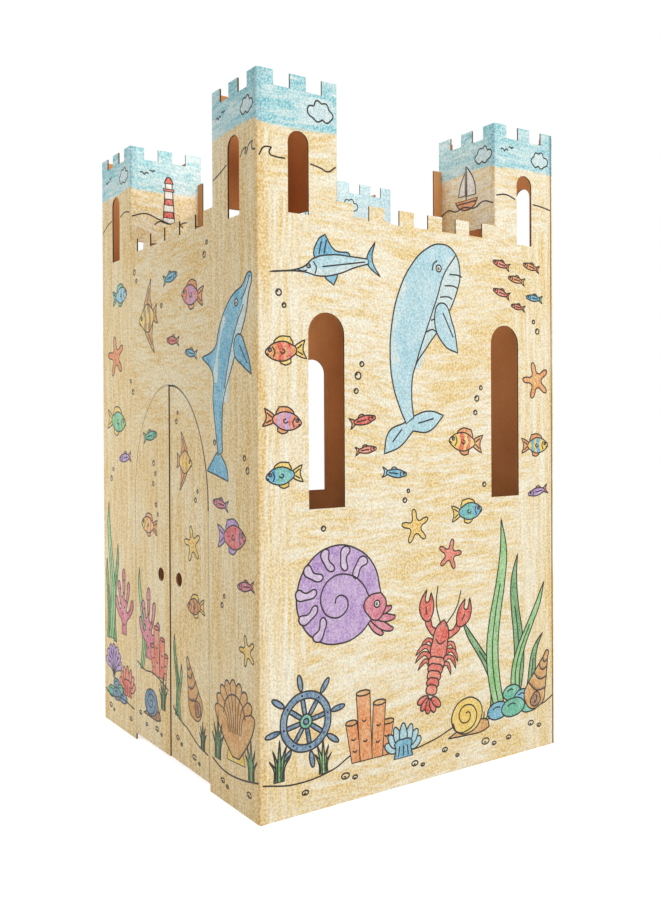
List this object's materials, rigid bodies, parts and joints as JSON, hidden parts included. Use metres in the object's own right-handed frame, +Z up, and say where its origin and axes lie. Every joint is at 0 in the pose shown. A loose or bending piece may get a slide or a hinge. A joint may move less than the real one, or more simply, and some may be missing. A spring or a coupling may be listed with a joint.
{
  "type": "cardboard castle",
  "caption": "Open-topped play castle of folded corrugated card: crenellated walls, square corner towers, arched windows and an arched double door.",
  "frame": {"origin": "middle of the castle's square plan, at floor level", "axes": "+Z up; the wall with the double door faces -Y and the castle's right side, seen from the front, is +X"},
  "size_m": [0.67, 0.67, 1.2],
  "materials": {
    "printed_card": "matte"
  },
  "bodies": {
    "castle": {"front_and_right_sheet": "printed_card", "back_and_left_sheet": "printed_card"},
    "left_leaf": {"left_door_leaf": "printed_card"},
    "right_leaf": {"right_door_leaf": "printed_card"}
  },
  "joints": [
    {"name": "left_door_crease", "type": "hinge", "parent": "castle", "child": "left_leaf", "pos_m": [-0.163, -0.335, 0.25], "axis": [0, 0, -1], "range_deg": [-85, 170]},
    {"name": "right_door_crease", "type": "hinge", "parent": "castle", "child": "right_leaf", "pos_m": [0.163, -0.335, 0.25], "axis": [0, 0, 1], "range_deg": [-83, 170]}
  ]
}
